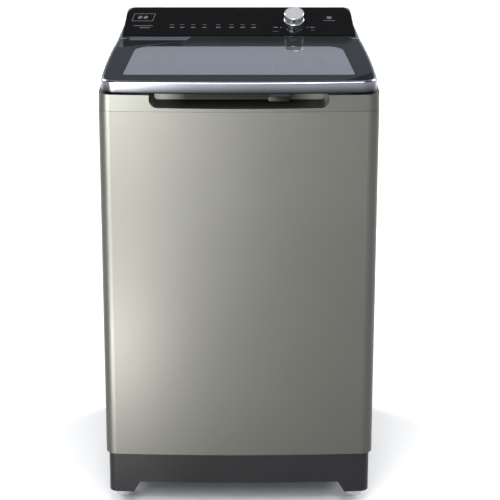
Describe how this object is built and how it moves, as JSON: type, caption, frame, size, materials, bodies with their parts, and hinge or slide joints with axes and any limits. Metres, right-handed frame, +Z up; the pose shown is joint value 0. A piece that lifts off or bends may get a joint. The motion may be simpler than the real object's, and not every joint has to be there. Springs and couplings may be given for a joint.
{
  "type": "top load washing machine",
  "caption": "Upright top-loading washer with a glass lid, sloped rear console with a rotary knob, sprung tub, spinning basket and agitator.",
  "frame": {"origin": "floor, under the middle of the object's box", "axes": "+X to the right seen from the front, +Y to the back, +Z up"},
  "size_m": [0.59, 0.6102, 1.0424],
  "materials": {
    "cabinet_metallic": "champagne metallic paint, satin",
    "apron_metallic": "champagne metallic lacquer on plastic",
    "console_black": "high gloss black",
    "lid_black": "gloss black",
    "tinted_glass": "tempered, black printed border",
    "silver_trim": "satin silver",
    "strip_grey": "dark grey inlay",
    "knob_chrome": "polished",
    "knob_cap": "turned, circular brushing",
    "base_grey": "dark grey, fine texture",
    "foot_white": "moulded white with a rubber pad",
    "zinc_steel": "galvanised sheet",
    "stainless": "stainless drum",
    "tub_plastic": "light grey polypropylene",
    "deck_grey": "grey moulding",
    "agitator_grey": "blue grey moulding",
    "cast_alloy": "cast",
    "shaft_steel": "ground",
    "motor_paint": "black enamel",
    "rubber_black": "matt",
    "hose_grey": "flexible grey",
    "board_green": "circuit board",
    "valve_white": "moulded white"
  },
  "bodies": {
    "cabinet": {"base_frame": "base_grey", "foot_lock_nuts": "zinc_steel", "cabinet_shell": "cabinet_metallic", "rear_panel": "zinc_steel", "rear_access_cover": "zinc_steel", "rear_cover_screws": "zinc_steel", "cord_gland": "rubber_black", "top_frame": "apron_metallic", "hinge_brackets": "lid_black", "hinge_pins": "shaft_steel", "lid_lock_housing": "lid_black", "console_housing": "console_black", "console_fascia": "console_black", "control_board": "board_green", "dial_encoder": "lid_black", "dispenser_housing": "deck_grey", "inlet_valve": "valve_white", "inlet_hose": "hose_grey", "drain_outlet": "deck_grey", "suspension_rods": "shaft_steel", "rod_seats": "valve_white", "corner_brackets": "zinc_steel"},
    "tub": {"outer_tub": "tub_plastic", "tub_ring": "tub_plastic", "mounting_plate": "zinc_steel", "clutch_housing": "cast_alloy", "main_bearings": "shaft_steel", "motor": "motor_paint", "drive_belt": "rubber_black", "drain_valve": "valve_white", "drain_hose": "hose_grey", "spring_cups": "valve_white", "suspension_springs": "shaft_steel"},
    "basket": {"basket_wall": "stainless", "basket_base": "tub_plastic", "balance_ring": "deck_grey", "basket_hub": "cast_alloy", "lint_filters": "agitator_grey", "spin_shaft": "shaft_steel"},
    "agitator": {"pulsator": "agitator_grey", "pulsator_shaft": "shaft_steel", "pulsator_cap": "deck_grey"},
    "belt_pulley": {"drive_pulley": "cast_alloy", "input_shaft": "shaft_steel"},
    "motor_rotor": {"motor_pulley": "cast_alloy", "motor_shaft": "shaft_steel"},
    "dial": {"dial_knob": "knob_chrome", "dial_cap": "knob_cap"},
    "lid": {"lid_frame": "lid_black", "lid_glass": "tinted_glass", "lid_front_trim": "silver_trim", "lid_accent_strip": "strip_grey", "lid_hook": "lid_black", "lid_bumpers": "rubber_black"},
    "bolt": {"lock_bolt": "valve_white"},
    "drawer": {"detergent_drawer": "deck_grey"},
    "foot_fl": {"foot_front_left": "foot_white"},
    "foot_fr": {"foot_front_right": "foot_white"},
    "foot_rl": {"foot_rear_left": "foot_white"},
    "foot_rr": {"foot_rear_right": "foot_white"}
  },
  "joints": [
    {"name": "tub_bounce", "type": "slide", "parent": "cabinet", "child": "tub", "axis": [0, 0, 1], "range_m": [-0.02, 0.01], "stiffness_N_per_m": 9000, "springref_m": 0.03412, "deforming": ["suspension_springs"]},
    {"name": "basket_spin", "type": "hinge", "parent": "tub", "child": "basket", "pos_m": [0, -0.01, 0.345], "axis": [0, 0, 1], "continuous": true},
    {"name": "agitator_turn", "type": "hinge", "parent": "tub", "child": "agitator", "pos_m": [0, -0.01, 0.3], "axis": [0, 0, 1], "continuous": true},
    {"name": "pulley_turn", "type": "hinge", "parent": "tub", "child": "belt_pulley", "pos_m": [0, -0.01, 0.222], "axis": [0, 0, 1], "continuous": true},
    {"name": "rotor_turn", "type": "hinge", "parent": "tub", "child": "motor_rotor", "pos_m": [0.155, -0.01, 0.222], "axis": [0, 0, 1], "continuous": true},
    {"name": "dial_turn", "type": "hinge", "parent": "cabinet", "child": "dial", "pos_m": [0.125, 0.1228, 1.01419], "axis": [0, -0.4695, 0.8829], "continuous": true},
    {"name": "lid_hinge", "type": "hinge", "parent": "cabinet", "child": "lid", "pos_m": [0, 0.066, 0.98296], "axis": [-1, 0, 0], "range_deg": [0, 85]},
    {"name": "bolt_slide", "type": "slide", "parent": "cabinet", "child": "bolt", "axis": [1, 0, 0], "range_m": [0, 0.01]},
    {"name": "drawer_slide", "type": "slide", "parent": "cabinet", "child": "drawer", "axis": [0, -1, 0], "range_m": [0, 0.1]},
    {"name": "foot_fl_screw", "type": "slide", "parent": "cabinet", "child": "foot_fl", "axis": [0, 0, -1], "range_m": [0, 0.01]},
    {"name": "foot_fr_screw", "type": "slide", "parent": "cabinet", "child": "foot_fr", "axis": [0, 0, -1], "range_m": [0, 0.01]},
    {"name": "foot_rl_screw", "type": "slide", "parent": "cabinet", "child": "foot_rl", "axis": [0, 0, -1], "range_m": [0, 0.01]},
    {"name": "foot_rr_screw", "type": "slide", "parent": "cabinet", "child": "foot_rr", "axis": [0, 0, -1], "range_m": [0, 0.01]}
  ],
  "couplings": [
    {"joint": "pulley_turn", "follows": "agitator_turn", "ratio": 5},
    {"joint": "rotor_turn", "follows": "agitator_turn", "ratio": 17.4}
  ]
}
